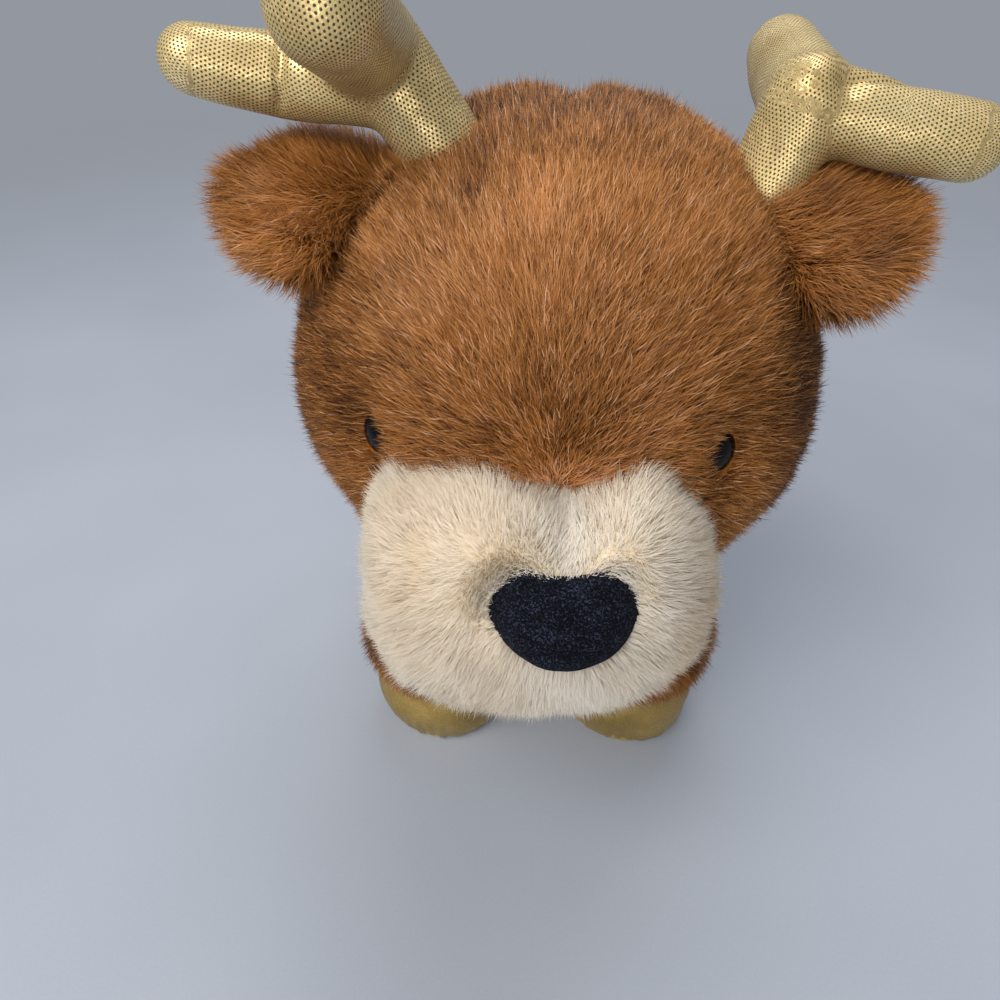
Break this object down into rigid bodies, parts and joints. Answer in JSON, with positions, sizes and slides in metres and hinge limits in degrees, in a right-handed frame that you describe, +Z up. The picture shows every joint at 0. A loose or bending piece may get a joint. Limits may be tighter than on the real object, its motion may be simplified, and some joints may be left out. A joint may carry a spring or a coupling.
{
  "type": "plush deer",
  "caption": "Standing plush deer with a big ball head, cream muzzle, floppy forked antlers, leaf ears, bean body, swinging legs with foil hooves and a short tail.",
  "frame": {"origin": "centre of the bounding box, on the table under the soles", "axes": "+Z up, the deer faces -Y, its own left side is at +X"},
  "size_m": [0.2024, 0.28, 0.2821],
  "materials": {
    "brown_fur": "deep pile plush fur, soft sheen",
    "cream_fur": "deep pile plush fur",
    "nose_felt": "matt felt",
    "eye_plastic": "polished",
    "washer_plastic": "milky",
    "antler_foil": "gold foil knit with small dark dots",
    "hoof_foil": "plain olive gold foil knit",
    "stuffing": "loose polyester fibre"
  },
  "bodies": {
    "torso": {"body_cover": "brown_fur", "body_stuffing": "stuffing"},
    "neck": {"neck": "brown_fur"},
    "head": {"head_cover": "brown_fur", "head_stuffing": "stuffing", "muzzle_cover": "cream_fur", "muzzle_stuffing": "stuffing", "nose_pad": "nose_felt", "eye_left": "eye_plastic", "eye_right": "eye_plastic", "eye_washer_left": "washer_plastic", "eye_washer_right": "washer_plastic"},
    "ear_left": {"ear_left_front": "brown_fur", "ear_left_back": "brown_fur"},
    "antler_left": {"antler_left_cover": "antler_foil", "antler_left_stuffing": "stuffing"},
    "ear_right": {"ear_right_front": "brown_fur", "ear_right_back": "brown_fur"},
    "antler_right": {"antler_right_cover": "antler_foil", "antler_right_stuffing": "stuffing"},
    "leg_front_left": {"leg_front_left_cover": "brown_fur", "leg_front_left_stuffing": "stuffing", "hoof_front_left_cover": "hoof_foil", "hoof_front_left_sole": "hoof_foil"},
    "leg_front_right": {"leg_front_right_cover": "brown_fur", "leg_front_right_stuffing": "stuffing", "hoof_front_right_cover": "hoof_foil", "hoof_front_right_sole": "hoof_foil"},
    "leg_hind_left": {"leg_hind_left_cover": "brown_fur", "leg_hind_left_stuffing": "stuffing", "hoof_hind_left_cover": "hoof_foil", "hoof_hind_left_sole": "hoof_foil"},
    "leg_hind_right": {"leg_hind_right_cover": "brown_fur", "leg_hind_right_stuffing": "stuffing", "hoof_hind_right_cover": "hoof_foil", "hoof_hind_right_sole": "hoof_foil"},
    "tail": {"tail": "brown_fur"}
  },
  "joints": [
    {"name": "neck_turn", "type": "hinge", "parent": "torso", "child": "neck", "pos_m": [0, -0.03685, 0.17], "axis": [0, -0.6157, 0.788], "range_deg": [-18, 18], "stiffness_Nm_per_rad": 0.6},
    {"name": "head_nod", "type": "hinge", "parent": "neck", "child": "head", "pos_m": [0, -0.03685, 0.17], "axis": [1, 0, 0], "range_deg": [-10, 8], "stiffness_Nm_per_rad": 0.6},
    {"name": "ear_left_flap", "type": "hinge", "parent": "head", "child": "ear_left", "pos_m": [0.06081, -0.05605, 0.2128], "axis": [0.0603, -0.9045, -0.4221], "range_deg": [-12, 12], "stiffness_Nm_per_rad": 0.05},
    {"name": "ear_right_flap", "type": "hinge", "parent": "head", "child": "ear_right", "pos_m": [-0.06081, -0.05605, 0.2128], "axis": [-0.0603, -0.9045, -0.4221], "range_deg": [-12, 12], "stiffness_Nm_per_rad": 0.05},
    {"name": "antler_left_lean", "type": "hinge", "parent": "head", "child": "antler_left", "pos_m": [0.04689, -0.04139, 0.229], "axis": [1, 0, 0], "range_deg": [-12, 12], "stiffness_Nm_per_rad": 0.08},
    {"name": "antler_right_lean", "type": "hinge", "parent": "head", "child": "antler_right", "pos_m": [-0.03467, -0.03685, 0.23707], "axis": [1, 0, 0], "range_deg": [-12, 12], "stiffness_Nm_per_rad": 0.08},
    {"name": "leg_front_left_swing", "type": "hinge", "parent": "torso", "child": "leg_front_left", "pos_m": [0.04, -0.03285, 0.056], "axis": [1, 0, 0], "range_deg": [-12, 12], "stiffness_Nm_per_rad": 0.6},
    {"name": "leg_front_right_swing", "type": "hinge", "parent": "torso", "child": "leg_front_right", "pos_m": [-0.04, -0.03285, 0.056], "axis": [1, 0, 0], "range_deg": [-12, 12], "stiffness_Nm_per_rad": 0.6},
    {"name": "leg_hind_left_swing", "type": "hinge", "parent": "torso", "child": "leg_hind_left", "pos_m": [0.04, 0.07115, 0.056], "axis": [1, 0, 0], "range_deg": [-12, 12], "stiffness_Nm_per_rad": 0.6},
    {"name": "leg_hind_right_swing", "type": "hinge", "parent": "torso", "child": "leg_hind_right", "pos_m": [-0.04, 0.07115, 0.056], "axis": [1, 0, 0], "range_deg": [-12, 12], "stiffness_Nm_per_rad": 0.6},
    {"name": "tail_wag", "type": "hinge", "parent": "torso", "child": "tail", "pos_m": [0, 0.09915, 0.108], "axis": [0, 0, 1], "range_deg": [-20, 20], "stiffness_Nm_per_rad": 0.03}
  ]
}
